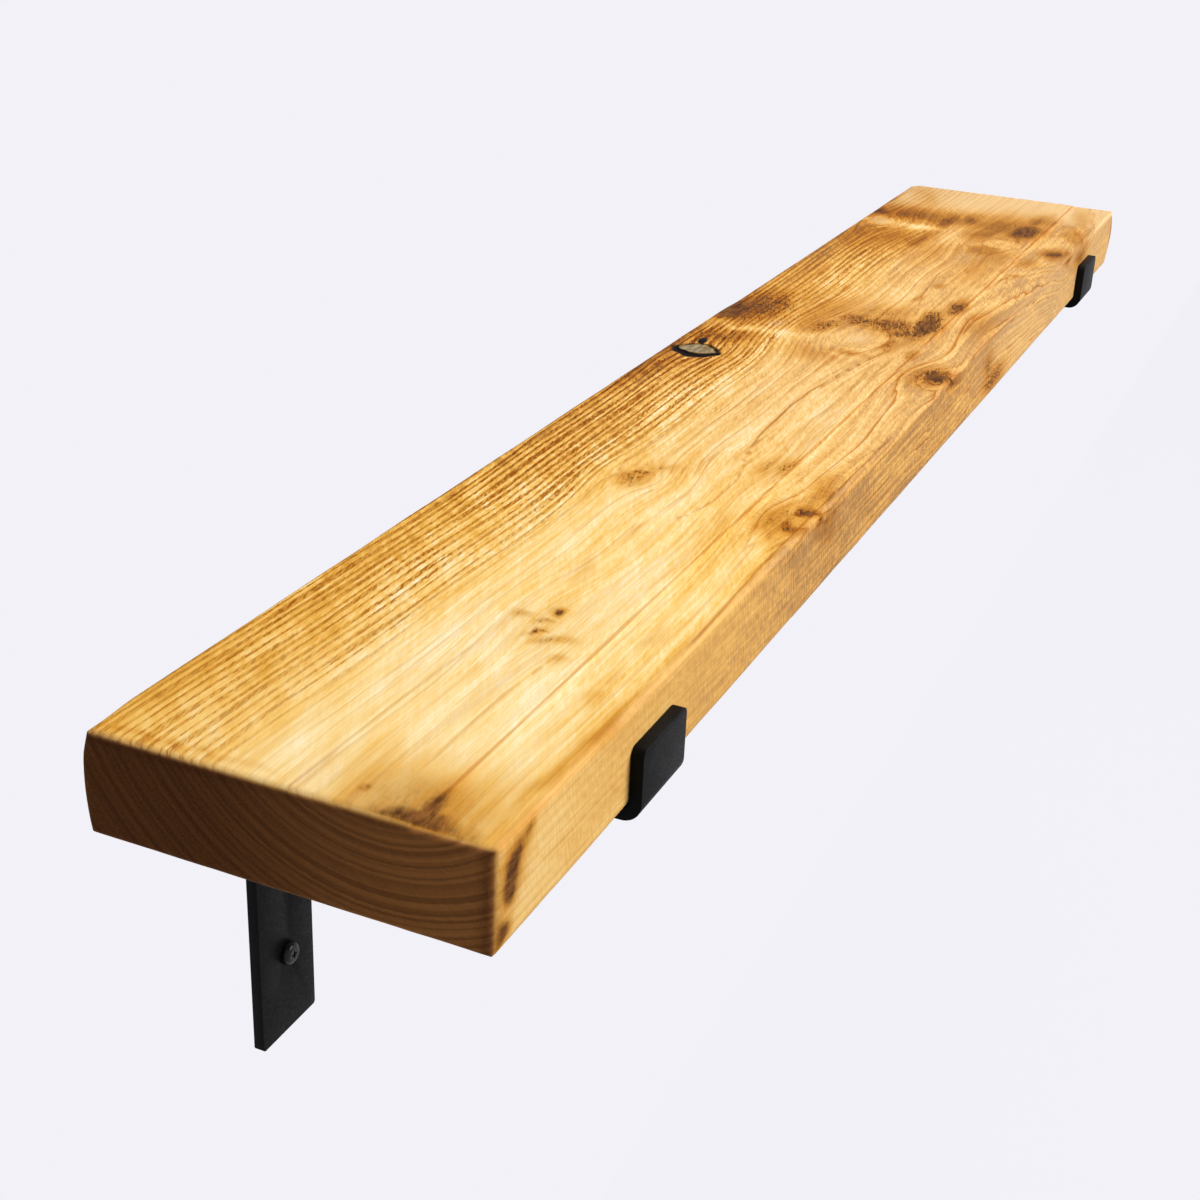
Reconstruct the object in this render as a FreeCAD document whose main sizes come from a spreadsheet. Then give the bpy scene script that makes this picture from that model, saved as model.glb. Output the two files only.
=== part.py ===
import FreeCAD, Part
import Sketcher
import math
import os

# Bracket wall shelf: a rough-sawn board on two lipped flat-bar brackets, screwed to the wall.
# Millimetres. +X runs along the board, -Y is the front, +Y is the wall and +Z is up.
# The origin is on the wall plane, at the middle of the four wall screws.

SIZES = {
    # Board
    "board_length": 1000,
    "board_width": 159,
    "board_thickness": 41,
    "back_gap": 9.3,
    "back_crown": 1.8,
    "strip_width": 30.5,
    "ledge_drop": 0.5,
    "ledge_run": 0.8,
    "top_arris_radius": 1.8,
    "bottom_arris_radius": 4,
    "left_end_radius": 3,
    "right_plan_radius": 6,
    "right_top_radius": 2.5,
    "right_bottom_radius": 10,
    "trim_margin": 20,
    "knot_from_left": 505,
    "knot_from_back": 19,
    "knot_radius": 13.5,
    "knot_crack_width": 1.6,
    "knot_crack_depth": 1.2,
    # Brackets
    "left_inset": 102.5,
    "right_inset": 82,
    "bar_width": 40,
    "bar_thickness": 5,
    "bend_radius": 3,
    "leg_height": 170,
    "lip_height": 25.5,
    "lip_clearance": 0.3,
    "lip_corner_radius": 2.5,
    "foot_corner_radius": 1.5,
    "bar_edge_bevel": 0.6,
    # Wall screws
    "wall_screw_below_arm": 40,
    "wall_screw_above_foot": 40,
    "wall_screw_radius": 2.5,
    "wall_neck_radius": 1.9,
    "wall_screw_length": 40,
    "wall_screw_tip": 5,
    "wall_head_radius": 5.2,
    "wall_head_height": 3.8,
    "wall_head_rim": 1.4,
    "wall_head_flat": 3.2,
    "wall_hole_clearance": 0.5,
    "wall_recess_reach": 2.6,
    "wall_recess_half_width": 0.55,
    "wall_recess_depth": 2.2,
    # Board screws
    "board_screw_behind_lip": 38,
    "board_screw_from_wall": 42,
    "board_screw_radius": 2,
    "board_screw_length": 30,
    "board_screw_tip": 4,
    "board_head_radius": 4,
    "board_hole_clearance": 0.3,
    "board_recess_reach": 2.2,
    "board_recess_half_width": 0.5,
    "board_recess_depth": 1.7,
    "countersink_clearance": 0.1,
    "pilot_clearance": 0.1,
    "pilot_tip_room": 2,
}

doc = FreeCAD.newDocument("bracket_wall_shelf")
dims = doc.addObject("Spreadsheet::Sheet", "dims")
for row, (alias, size) in enumerate(SIZES.items(), start=1):
    dims.set(f"A{row}", alias)
    dims.set(f"B{row}", str(size))
    dims.setAlias(f"B{row}", alias)
doc.recompute()

# Places that several pieces share, as expressions of the sheet
REACH = "(dims.back_gap + dims.board_width + dims.lip_clearance + dims.bar_thickness)"
SPACING = "(dims.board_length - dims.left_inset - dims.right_inset - dims.bar_width)"
ARM_TOP = "((dims.leg_height - dims.wall_screw_above_foot + dims.wall_screw_below_arm) / 2)"
FRONT_SCREW_Y = f"(dims.bar_thickness + dims.board_screw_behind_lip - {REACH})"
BACK_SCREW_Y = "(-dims.board_screw_from_wall)"
UPPER_SCREW_Z = "(-dims.wall_screw_below_arm)"
LOWER_SCREW_Z = "(dims.wall_screw_above_foot - dims.leg_height)"
SIDE_X = {"left": f"(-{SPACING} / 2)", "right": f"({SPACING} / 2)"}

UPRIGHT = FreeCAD.Vector(0, 0, 1)
TOLERANCE = 1e-4


def value(expression):
    return float(dims.evalExpression(expression))


def point(x, y):
    return FreeCAD.Vector(value(x), value(y), 0)


def new_body(label):
    body = doc.addObject("PartDesign::Body", label)
    body.Label = label
    return body


def place(body, x, y, z, turn=0):
    """Puts a body's origin at x, y, z, turned about X by so many degrees."""
    body.Placement.Rotation = FreeCAD.Rotation(FreeCAD.Vector(1, 0, 0), turn)
    for axis, expression in (("x", x), ("y", y), ("z", z)):
        body.setExpression(f"Placement.Base.{axis}", expression)


def new_sketch(body, name, plane, height="0"):
    """Attaches a sketch to one of the body's own planes, raised by height."""
    sketch = body.newObject("Sketcher::SketchObject", f"{body.Label}_{name}")
    support = next(item for item in body.Origin.OriginFeatures if item.Role == plane)
    sketch.AttachmentSupport = (support, [""])
    sketch.MapMode = "FlatFace"
    sketch.setExpression("AttachmentOffset.Base.z", height)
    return sketch


def dimension(sketch, kind, items, expression):
    """Adds a sketch dimension that follows an expression of the sheet."""
    index = sketch.addConstraint(Sketcher.Constraint(kind, *items, value(expression)))
    sketch.setExpression(f"Constraints[{index}]", expression)


def pin_x(sketch, edge, end, x):
    if x == "0":
        sketch.addConstraint(Sketcher.Constraint("PointOnObject", edge, end, -2))
    else:
        dimension(sketch, "DistanceX", (-1, 1, edge, end), x)


def pin_y(sketch, edge, end, y):
    if y == "0":
        sketch.addConstraint(Sketcher.Constraint("PointOnObject", edge, end, -1))
    else:
        dimension(sketch, "DistanceY", (-1, 1, edge, end), y)


def outline(sketch, corners, arcs=None):
    """Closes an outline through corners. Edges numbered in arcs bend through a point, at a radius."""
    arcs = arcs or {}
    points = [point(x, y) for x, y in corners]
    edges = []
    for i, start in enumerate(points):
        end = points[(i + 1) % len(points)]
        if i in arcs:
            through_x, through_y, radius = arcs[i]
            edge = sketch.addGeometry(Part.Arc(start, point(through_x, through_y), end))
            dimension(sketch, "Radius", (edge,), radius)
            runs_forward = sketch.getPoint(edge, 1).isEqual(start, TOLERANCE)
            edges.append((edge, 1, 2) if runs_forward else (edge, 2, 1))
        else:
            edges.append((sketch.addGeometry(Part.LineSegment(start, end)), 1, 2))
    for i, (edge, start, end) in enumerate(edges):
        next_edge, next_start, _ = edges[(i + 1) % len(edges)]
        sketch.addConstraint(Sketcher.Constraint("Coincident", edge, end, next_edge, next_start))
        pin_x(sketch, edge, start, corners[i][0])
        pin_y(sketch, edge, start, corners[i][1])


def rounded_rectangle(sketch, low, high, radii):
    """Draws a rectangle whose corners, anticlockwise from the low one, have these radii."""
    corners = ((low[0], low[1]), (high[0], low[1]), (high[0], high[1]), (low[0], high[1]))
    inwards = ((1, 1), (-1, 1), (-1, -1), (1, -1))
    arcs = []
    for i, (corner, (in_x, in_y), radius) in enumerate(zip(corners, inwards, radii)):
        size = value(radius)
        centre = point(*corner) + FreeCAD.Vector(in_x * size, in_y * size, 0)
        start = math.pi + i * math.pi / 2
        arc = Part.ArcOfCircle(Part.Circle(centre, UPRIGHT, size), start, start + math.pi / 2)
        arcs.append(sketch.addGeometry(arc))
        dimension(sketch, "Radius", (arcs[i],), radius)
    for i, arc in enumerate(arcs):
        next_arc = arcs[(i + 1) % len(arcs)]
        side = Part.LineSegment(sketch.getPoint(arc, 2), sketch.getPoint(next_arc, 1))
        edge = sketch.addGeometry(side)
        sketch.addConstraint(Sketcher.Constraint("Tangent", arc, 2, edge, 1))
        sketch.addConstraint(Sketcher.Constraint("Tangent", edge, 2, next_arc, 1))
        if i in (0, 2):
            sketch.addConstraint(Sketcher.Constraint("Horizontal", edge))
            pin_y(sketch, edge, 1, corners[i][1])
        else:
            sketch.addConstraint(Sketcher.Constraint("Vertical", edge))
            pin_x(sketch, edge, 1, corners[i][0])


def circles(sketch, centres, radius):
    for x, y in centres:
        edge = sketch.addGeometry(Part.Circle(point(x, y), UPRIGHT, value(radius)))
        pin_x(sketch, edge, 3, x)
        pin_y(sketch, edge, 3, y)
        dimension(sketch, "Radius", (edge,), radius)


def pad(body, sketch, length):
    feature = body.newObject("PartDesign::Pad", f"{sketch.Name}_pad")
    feature.Profile = sketch
    feature.setExpression("Length", length)
    doc.recompute()


def pocket(body, sketch, depth=None, upward=False):
    """Cuts a sketch to a depth, below its plane or above it, or right through the body."""
    volume = body.Shape.Volume
    feature = body.newObject("PartDesign::Pocket", f"{sketch.Name}_pocket")
    feature.Profile = sketch
    if depth is None:
        feature.Type = "ThroughAll"
        feature.SideType = "Symmetric"
    else:
        feature.setExpression("Length", depth)
        feature.Reversed = upward
    doc.recompute()
    if body.Shape.Volume > volume - TOLERANCE:
        raise RuntimeError(f"{feature.Name} cuts nothing")


def revolve(body, sketch):
    feature = body.newObject("PartDesign::Revolution", f"{sketch.Name}_revolution")
    feature.Profile = sketch
    feature.ReferenceAxis = (sketch, ["V_Axis"])
    feature.Angle = 360
    doc.recompute()


def dress(body, kind, size, amount, chosen):
    """Adds a Fillet or Chamfer to the chosen edges of the body's last feature."""
    base = body.Tip
    names = [f"Edge{i}" for i, edge in enumerate(base.Shape.Edges, start=1) if chosen(edge)]
    feature = body.newObject(f"PartDesign::{kind}", f"{body.Label}_{kind.lower()}")
    feature.Base = (base, names)
    feature.setExpression(size, amount)
    doc.recompute()


def lies_along(axis, *places):
    """Chooses straight edges along an axis, at places given by the other two coordinates."""
    others = [name for name in "xyz" if name != axis]
    spots = [(value(first), value(second)) for first, second in places]

    def chosen(edge):
        ends = [[getattr(vertex.Point, name) for name in others] for vertex in edge.Vertexes]
        return len(ends) == 2 and any(
            all(math.dist(end, spot) < TOLERANCE for end in ends) for spot in spots
        )

    return chosen


def trim_ends(body, name, plane, low, high, radii):
    """Cuts off what lies outside a rounded rectangle as long as the board, seen square to a plane."""
    sketch = new_sketch(body, name, plane)
    left = "(-dims.trim_margin)"
    right = "(dims.board_length + dims.trim_margin)"
    below = f"({low} - dims.trim_margin)"
    above = f"({high} + dims.trim_margin)"
    outline(sketch, [(left, below), (right, below), (right, above), (left, above)])
    rounded_rectangle(sketch, ("0", low), ("dims.board_length", high), radii)
    pocket(body, sketch)


def make_board():
    """A sawn board: crowned back, shallow ledge along the top, eased arrises and ends, a loose knot."""
    body = new_body("board")
    front = "(-dims.board_width)"
    back = "(-dims.back_crown)"
    top = "dims.board_thickness"
    strip_top = "(dims.board_thickness - dims.ledge_drop)"
    ledge = "(dims.strip_width - dims.board_width)"
    crown_radius = "((dims.board_thickness ^ 2 / 4 + dims.back_crown ^ 2) / (2 * dims.back_crown))"

    section = new_sketch(body, "section", "YZ_Plane")
    corners = [
        (front, "0"),
        (back, "0"),
        (back, top),
        (ledge, top),
        (f"({ledge} - dims.ledge_run)", strip_top),
        (front, strip_top),
    ]
    outline(section, corners, {1: ("0", f"({top} / 2)", crown_radius)})
    pad(body, section, "dims.board_length")
    bottom_edges = lies_along("x", (front, "0"), (back, "0"))
    dress(body, "Fillet", "Radius", "dims.bottom_arris_radius", bottom_edges)
    top_edges = lies_along("x", (front, strip_top), (back, top))
    dress(body, "Fillet", "Radius", "dims.top_arris_radius", top_edges)

    left = "dims.left_end_radius"
    plan_radii = (left, "dims.right_plan_radius", "dims.right_plan_radius", left)
    trim_ends(body, "plan", "XY_Plane", front, "0", plan_radii)
    side_radii = (left, "dims.right_bottom_radius", "dims.right_top_radius", left)
    trim_ends(body, "elevation", "XZ_Plane", "0", top, side_radii)

    knot = new_sketch(body, "knot_crack", "XY_Plane", top)
    knot_centre = [("dims.knot_from_left", "(-dims.knot_from_back)")]
    circles(knot, knot_centre, "dims.knot_radius")
    circles(knot, knot_centre, "(dims.knot_radius - dims.knot_crack_width)")
    pocket(body, knot, "dims.knot_crack_depth")

    pilots = new_sketch(body, "pilots", "XY_Plane")
    left_hole = "(dims.left_inset + dims.bar_width / 2)"
    right_hole = "(dims.board_length - dims.right_inset - dims.bar_width / 2)"
    rows = [f"({y} + dims.back_gap)" for y in (FRONT_SCREW_Y, BACK_SCREW_Y)]
    centres = [(x, y) for x in (left_hole, right_hole) for y in rows]
    circles(pilots, centres, "(dims.board_screw_radius + dims.pilot_clearance)")
    pilot_depth = "(dims.board_screw_length - dims.bar_thickness + dims.pilot_tip_room)"
    pocket(body, pilots, pilot_depth, upward=True)
    place(body, f"({SIDE_X['left']} - {left_hole})", "(-dims.back_gap)", ARM_TOP)


def make_bracket(side):
    """A flat bar bent twice, with clearance holes in its leg and countersunk holes in its arm."""
    body = new_body(f"{side}_bracket")
    foot = "(-dims.leg_height)"
    inside = "(-dims.bar_thickness)"
    lip_front = f"(-{REACH})"
    lip_back = f"(dims.bar_thickness - {REACH})"

    profile = new_sketch(body, "profile", "YZ_Plane")
    corners = [
        ("0", "0"),
        (lip_back, "0"),
        (lip_back, "dims.lip_height"),
        (lip_front, "dims.lip_height"),
        (lip_front, inside),
        (inside, inside),
        (inside, foot),
        ("0", foot),
    ]
    outline(profile, corners)
    pad(body, profile, "dims.bar_width")
    inner_bends = lies_along("x", (lip_back, "0"), (inside, inside))
    dress(body, "Fillet", "Radius", "dims.bend_radius", inner_bends)
    outer_bends = lies_along("x", ("0", "0"), (lip_front, inside))
    dress(body, "Fillet", "Radius", "(dims.bend_radius + dims.bar_thickness)", outer_bends)
    lip_corners = lies_along("y", ("0", "dims.lip_height"), ("dims.bar_width", "dims.lip_height"))
    dress(body, "Fillet", "Radius", "dims.lip_corner_radius", lip_corners)
    foot_corners = lies_along("y", ("0", foot), ("dims.bar_width", foot))
    dress(body, "Fillet", "Radius", "dims.foot_corner_radius", foot_corners)

    # The edges of the bar are broken all the way round
    sides = [0, value("dims.bar_width")]
    shortest = 1.5 * value("dims.bar_thickness")

    def on_a_side(edge):
        across = [vertex.Point.x for vertex in edge.Vertexes]
        in_plane = any(all(abs(x - side_x) < TOLERANCE for x in across) for side_x in sides)
        return in_plane and (edge.Curve.TypeId == "Part::GeomCircle" or edge.Length > shortest)

    dress(body, "Chamfer", "Size", "dims.bar_edge_bevel", on_a_side)

    middle = "(dims.bar_width / 2)"
    wall_holes = new_sketch(body, "wall_holes", "XZ_Plane")
    wall_hole_radius = "(dims.wall_screw_radius + dims.wall_hole_clearance)"
    circles(wall_holes, [(middle, UPPER_SCREW_Z), (middle, LOWER_SCREW_Z)], wall_hole_radius)
    pocket(body, wall_holes)
    board_holes = new_sketch(body, "board_holes", "XY_Plane")
    board_hole_radius = "(dims.board_screw_radius + dims.board_hole_clearance)"
    circles(board_holes, [(middle, FRONT_SCREW_Y), (middle, BACK_SCREW_Y)], board_hole_radius)
    pocket(body, board_holes)

    def hole_rim_under_arm(edge):
        under_arm = abs(edge.CenterOfMass.z - value(inside)) < TOLERANCE
        return under_arm and edge.Curve.TypeId == "Part::GeomCircle" and edge.isClosed()

    head_reach = "(dims.board_head_radius + dims.countersink_clearance)"
    countersink = f"({head_reach} - {board_hole_radius})"
    dress(body, "Chamfer", "Size", countersink, hole_rim_under_arm)
    place(body, f"({SIDE_X[side]} - {middle})", "0", ARM_TOP)


def cut_cross_recess(body, kind, head_top):
    """Cuts a cross for the screwdriver into a head."""
    reach = f"dims.{kind}_recess_reach"
    half = f"dims.{kind}_recess_half_width"
    arm = [(half, reach), (half, half), (reach, half)]
    corners = []
    for sign_x, sign_y, order in ((1, 1, 1), (1, -1, -1), (-1, -1, 1), (-1, 1, -1)):
        corners += [(f"({sign_x} * {x})", f"({sign_y} * {y})") for x, y in arm[::order]]
    recess = new_sketch(body, "recess", "XY_Plane", head_top)
    outline(recess, corners)
    pocket(body, recess, f"dims.{kind}_recess_depth")


def make_wall_screw(label, x, z):
    """A pan-head screw: head on the front of the leg, neck in its hole and thread in the wall."""
    body = new_body(label)
    profile = new_sketch(body, "profile", "XZ_Plane")
    corners = [
        ("0", "(-dims.wall_screw_length)"),
        ("dims.wall_screw_radius", "(dims.wall_screw_tip - dims.wall_screw_length)"),
        ("dims.wall_screw_radius", "(-dims.bar_thickness)"),
        ("dims.wall_neck_radius", "(-dims.bar_thickness)"),
        ("dims.wall_neck_radius", "0"),
        ("dims.wall_head_radius", "0"),
        ("dims.wall_head_radius", "dims.wall_head_rim"),
        ("dims.wall_head_flat", "dims.wall_head_height"),
        ("0", "dims.wall_head_height"),
    ]
    outline(profile, corners)
    revolve(body, profile)
    cut_cross_recess(body, "wall", "dims.wall_head_height")
    place(body, x, "(-dims.bar_thickness)", f"({ARM_TOP} + {z})", turn=90)


def make_board_screw(label, x, y):
    """A countersunk screw, flush under the arm and standing in the board."""
    body = new_body(label)
    cone_end = "(dims.board_screw_radius - dims.board_head_radius)"
    profile = new_sketch(body, "profile", "XZ_Plane")
    corners = [
        ("0", "(-dims.board_screw_length)"),
        ("dims.board_screw_radius", "(dims.board_screw_tip - dims.board_screw_length)"),
        ("dims.board_screw_radius", cone_end),
        ("dims.board_head_radius", "0"),
        ("0", "0"),
    ]
    outline(profile, corners)
    revolve(body, profile)
    cut_cross_recess(body, "board", "0")
    place(body, x, y, f"({ARM_TOP} - dims.bar_thickness)", turn=180)


make_board()
for side, side_x in SIDE_X.items():
    make_bracket(side)
    make_wall_screw(f"{side}_upper_wall_screw", side_x, UPPER_SCREW_Z)
    make_wall_screw(f"{side}_lower_wall_screw", side_x, LOWER_SCREW_Z)
    make_board_screw(f"{side}_front_board_screw", side_x, FRONT_SCREW_Y)
    make_board_screw(f"{side}_back_board_screw", side_x, BACK_SCREW_Y)
doc.recompute()

for item in doc.Objects:
    if "Invalid" in item.State or "Error" in item.State:
        raise RuntimeError(f"{item.Label} did not build: {item.State}")

os.makedirs("parts", exist_ok=True)
for body in doc.findObjects("PartDesign::Body"):
    if body.Shape.isNull() or not body.Shape.isValid() or len(body.Shape.Solids) != 1:
        raise RuntimeError(f"{body.Label} is not one sound solid")
    body.Shape.exportStep(f"parts/{body.Label}.step")
    print(body.Label, round(body.Shape.Volume), body.Shape.BoundBox)
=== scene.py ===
import math

import bmesh
import bpy
import numpy as np
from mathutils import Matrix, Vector, noise


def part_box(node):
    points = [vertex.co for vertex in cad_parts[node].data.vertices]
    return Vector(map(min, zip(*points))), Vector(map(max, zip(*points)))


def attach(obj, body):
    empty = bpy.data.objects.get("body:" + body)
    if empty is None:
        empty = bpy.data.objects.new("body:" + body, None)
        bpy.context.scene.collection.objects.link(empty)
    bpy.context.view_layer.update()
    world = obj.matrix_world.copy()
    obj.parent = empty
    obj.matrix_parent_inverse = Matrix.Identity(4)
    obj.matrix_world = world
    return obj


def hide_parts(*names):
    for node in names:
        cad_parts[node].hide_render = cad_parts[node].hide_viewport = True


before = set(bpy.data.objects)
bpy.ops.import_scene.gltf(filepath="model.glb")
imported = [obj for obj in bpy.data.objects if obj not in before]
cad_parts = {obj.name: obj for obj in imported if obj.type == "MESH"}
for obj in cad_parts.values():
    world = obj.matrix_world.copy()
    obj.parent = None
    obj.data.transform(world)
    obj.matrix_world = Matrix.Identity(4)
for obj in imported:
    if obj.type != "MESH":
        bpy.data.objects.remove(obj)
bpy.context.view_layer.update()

# Bracket wall shelf: a waxed rough-sawn board on two black lipped brackets, screwed to the wall.
# Metres, in the CAD frame: +X along the board, -Y to the front, +Y into the wall, +Z up.

MM = 0.001

BOARD_LOW, BOARD_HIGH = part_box("board")
BOARD_SIZE = BOARD_HIGH - BOARD_LOW
SIDES = ("left", "right")
# Tolerances in metres
TINY = 1e-6
CLOSE = 1e-5

# Brackets
BAR_THICKNESS = 5 * MM
BEND_RADIUS = 3 * MM
BEND_STEPS = 10
LIP_CORNER = 3.6 * MM
FOOT_CORNER = 1.5 * MM
BAR_EDGE = 0.7 * MM
WALL_HOLE_RADIUS = 3 * MM
ARM_HOLE_RADIUS = 2.3 * MM
COUNTERSINK_RADIUS = 4.1 * MM
ROUND_POINTS = 48
SHARP_ANGLE = math.radians(40)
SMOOTH_DEGREES = 35

# Screws
SCREW_PLACES = {"wall": ("upper", "lower"), "board": ("front", "back")}
WALL_HEAD_HEIGHT = 3.8 * MM
WALL_HEAD_RADIUS = 5.2 * MM
WALL_HEAD_DOME = 2.3 * MM
WALL_NECK = 5 * MM
WALL_HEAD_FOOT = 0.3 * MM
WALL_SHANK = 40 * MM
WALL_NECK_RADIUS = 1.9 * MM
WALL_CORE_RADIUS = 1.65 * MM
WALL_THREAD = 0.85 * MM
WALL_POINT = 6 * MM
BOARD_HEAD_RADIUS = 4 * MM
BOARD_SHANK = 30 * MM
BOARD_CORE_RADIUS = 1.5 * MM
BOARD_THREAD = 0.5 * MM
BOARD_POINT = 5 * MM
BLUNT_TIP = 0.02
THREAD_PITCH = 1.8 * MM
THREAD_RINGS = 8
THREAD_FLANK = 0.28
MOST_CUTS = 100
SHANK_POINTS = 24
# Cross recesses: half reach, half width and depth, and how far they narrow downwards
WALL_CROSS = (2.6 * MM, 0.55 * MM, 2.2 * MM)
BOARD_CROSS = (2.2 * MM, 0.5 * MM, 1.7 * MM)
CROSS_TAPER = (0.45, 0.8, 1)
CROSS_EDGE = 0.12 * MM

# Board, in millimetres along from its near end, across from its back edge and down from its top
# Grids: the cuts, pass by pass, then the reach and the count of the closer lines by each end
GRID_ALONG, ALONG_EDGE = (71, 5), (12, 8)
GRID_ACROSS, ACROSS_EDGE = (79,), (6, 6)
GRID_DOWN, DOWN_EDGE = (17,), (5.5, 5)
EDGE_CROWDING = 1.25
KNOT_GRID_REACH = 26 * MM
KNOT_GRID_CUTS = 3
STRIP_WIDTH = 30.5
LEDGE_RUN = 0.8
LEDGE_DROP = 0.5
BACK_CROWN = 1.8
BACK_WEAR = 1.3
BULGE = 10
BULGE_RUN = 40
BULGE_HEIGHT = 36
CRACK_DEPTH = 1.2
FACET_DEPTH = 0.6
BEAD_HEIGHT = 0.8
EDGE_WEAR = 0.15
HUMP_HEIGHT, HUMP_WAVE, HUMP_SEEDS = 0.09, (34, 16, 16), (11.3, 27.7, 45.1)
GRIT_HEIGHT, GRIT_WAVE, GRIT_SEEDS = 0.05, (7, 5, 5), (61.3, 77.7, 95.1)
RING_SPACING = 3.5
PITH_ACROSS = 117
PITH_ABOVE = 50
SAW_SLANT = 27
TICK_SLANT = 15
DEAD_KNOT = (505, 19.6, 13.2, 14.4)
DEAD_CORE = (508.4, 19, 8, 10.8)
KNOT_BEAD = (523, 16.5, 6, 2.5, -12)
KNOT_POWER = 1.7

# Eased edges: two sides, each with the face at its start (0) or its end (1), and the radius
EASED_EDGES = (
    ("down", 0, "across", 1, 1.8),
    ("down", 0, "across", 0, 2.2),
    ("down", 1, "across", 1, 4),
    ("down", 1, "across", 0, 4),
    ("along", 0, "down", 0, 3.2),
    ("along", 0, "down", 1, 3),
    ("along", 0, "across", 1, 4),
    ("along", 0, "across", 0, 3),
    ("along", 1, "down", 0, 2.5),
    ("along", 1, "down", 1, 10),
    ("along", 1, "across", 1, 6),
    ("along", 1, "across", 0, 14),
)

# Live knots: along, across, half length, half width, how far the grain swings round, rings raised
KNOTS = {
    "cluster": (150, 100, 14, 8, 0.4, 0.5),
    "round": (309, 69, 10, 9, 0.6, 2.0),
    "almond": (312, 100, 46, 13, 0.2, 0.7),
    "front_edge": (298, 150, 20, 12, 0.6, 2.0),
    "dead": (505, 19, 14, 15, 0.25, 0.8),
    "oval": (576, 92, 21, 18, 0.8, 1.6),
    "strip": (528, 150, 17, 10, 0.7, 2.5),
    "far_oval": (866, 20, 15, 14, 0.8, 2.0),
    "far_ledge": (845, 111, 15, 13, 0.7, 2.0),
    "far_strip": (838, 151, 12, 8, 0.7, 0.8),
    "fan": (840, 165, 85, 30, 0.0, -7.0),
}

# Marks are ovals: along, across, half length, half width, turn in degrees and strength

# Wax and bark stains on the top
STAINS = (
    (9, 126, 26, 28, 0, 0.6),
    (4, 129, 10, 22, 0, 0.84),
    (14, 129, 16, 3.2, 4, 0.82),
    (13, 104, 2.8, 2.5, 0, 0.72),
    (16, 109, 3.2, 2.8, 0, 0.6),
    (11, 115, 6.5, 4.5, 20, 0.58),
    (6, 148, 7, 6, 0, 0.62),
    (7, 30, 2, 40, 0, 0.3),
    (148, 101, 18, 12, 0, 0.22),
    (153, 90.5, 5.5, 4, 55, 0.5),
    (151.5, 100, 6, 2.1, 56, 0.68),
    (160, 103, 2.6, 2.2, 0, 0.85),
    (141, 103, 5, 2.4, 53, 0.82),
    (137, 111, 8, 3.2, 57, 0.55),
    (123, 118, 4, 2.6, 55, 0.42),
    (44, 152, 35, 3, 6, 0.42),
    (80, 155, 26, 3, 0, 0.4),
    (104, 143, 7, 2.5, 0, 0.3),
    (122, 143, 8, 2, 0, 0.26),
    (160, 143, 9, 2.5, 0, 0.26),
    (205, 92, 14, 3, -10, 0.25),
    (307, 68, 9, 8, 0, 0.55),
    (314, 70, 3.5, 5.5, 0, 0.68),
    (324, 76, 9, 5, 30, 0.4),
    (354, 119, 11, 4, 0, 0.42),
    (357, 126.5, 13, 2.6, 0, 0.6),
    (295, 144, 18, 11, 0, 0.48),
    (287, 152, 7, 5, 0, 0.7),
    (308, 153, 6, 5.5, 0, 0.92),
    (338, 150, 22, 5, -10, 0.4),
    (452, 4, 60, 7, 0, 0.45),
    (478, 14, 30, 12, 0, 0.28),
    (537, 20, 14, 22, -20, 0.62),
    (505, 40, 50, 10, 0, 0.25),
    (592, 9, 24, 14, 0, 1.0),
    (610, 22, 36, 18, 0, 0.76),
    (640, 42, 34, 18, 0, 0.4),
    (590, 68, 16, 8, 12, 0.7),
    (613, 80, 14, 13, 0, 0.72),
    (612, 98, 16, 17, 20, 0.8),
    (598, 110, 13, 9, 35, 0.78),
    (571, 112, 14, 5, 0, 0.64),
    (634, 90, 22, 18, 0, 0.45),
    (536, 78, 14, 16, 0, 0.34),
    (545, 95, 6, 14, 0, 0.4),
    (615, 60, 45, 16, 8, 0.42),
    (690, 24, 60, 22, 0, 0.15),
    (559, 127, 10, 2, 0, 0.6),
    (620, 120, 30, 8, 0, 1.04),
    (640, 119, 13, 6.5, -15, 0.9),
    (671, 124.5, 19, 4.2, 0, 0.86),
    (677, 97, 8, 2.4, 0, 0.5),
    (714, 103, 7, 3.5, 0, 0.5),
    (528, 147, 19, 11, 0, 0.64),
    (530, 150, 14, 8, 0, 1.0),
    (640, 148, 34, 9, -8, 0.34),
    (820, 34, 36, 32, 0, 0.56),
    (828, 57, 30, 7, 0, 0.66),
    (800, 75, 40, 10, 0, 0.35),
    (822, 104, 15, 15, 30, 0.58),
    (806, 118, 26, 10, 0, 0.4),
    (768, 112, 40, 14, 0, 0.3),
    (894, 8, 16, 6, 0, 0.85),
    (945, 2, 55, 4, 0, 0.85),
    (900, 36, 28, 34, 0, 0.7),
    (892, 60, 30, 8, 0, 0.76),
    (904, 74, 26, 10, 0, 0.76),
    (870, 92, 26, 12, 0, 0.66),
    (898, 98, 40, 26, 0, 0.68),
    (890, 117, 31, 12, 0, 0.9),
    (928, 117, 24, 11, 0, 0.68),
    (845, 111, 10, 8, 0, 0.4),
    (839, 149, 14, 9, 0, 0.85),
    (804, 138, 12, 8, 0, 0.5),
    (769, 138, 4, 3, 0, 0.5),
    (900, 150, 26, 7, -15, 0.5),
    (960, 26, 40, 10, -20, 0.36),
    (955, 145, 36, 6, -12, 0.34),
)

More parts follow.
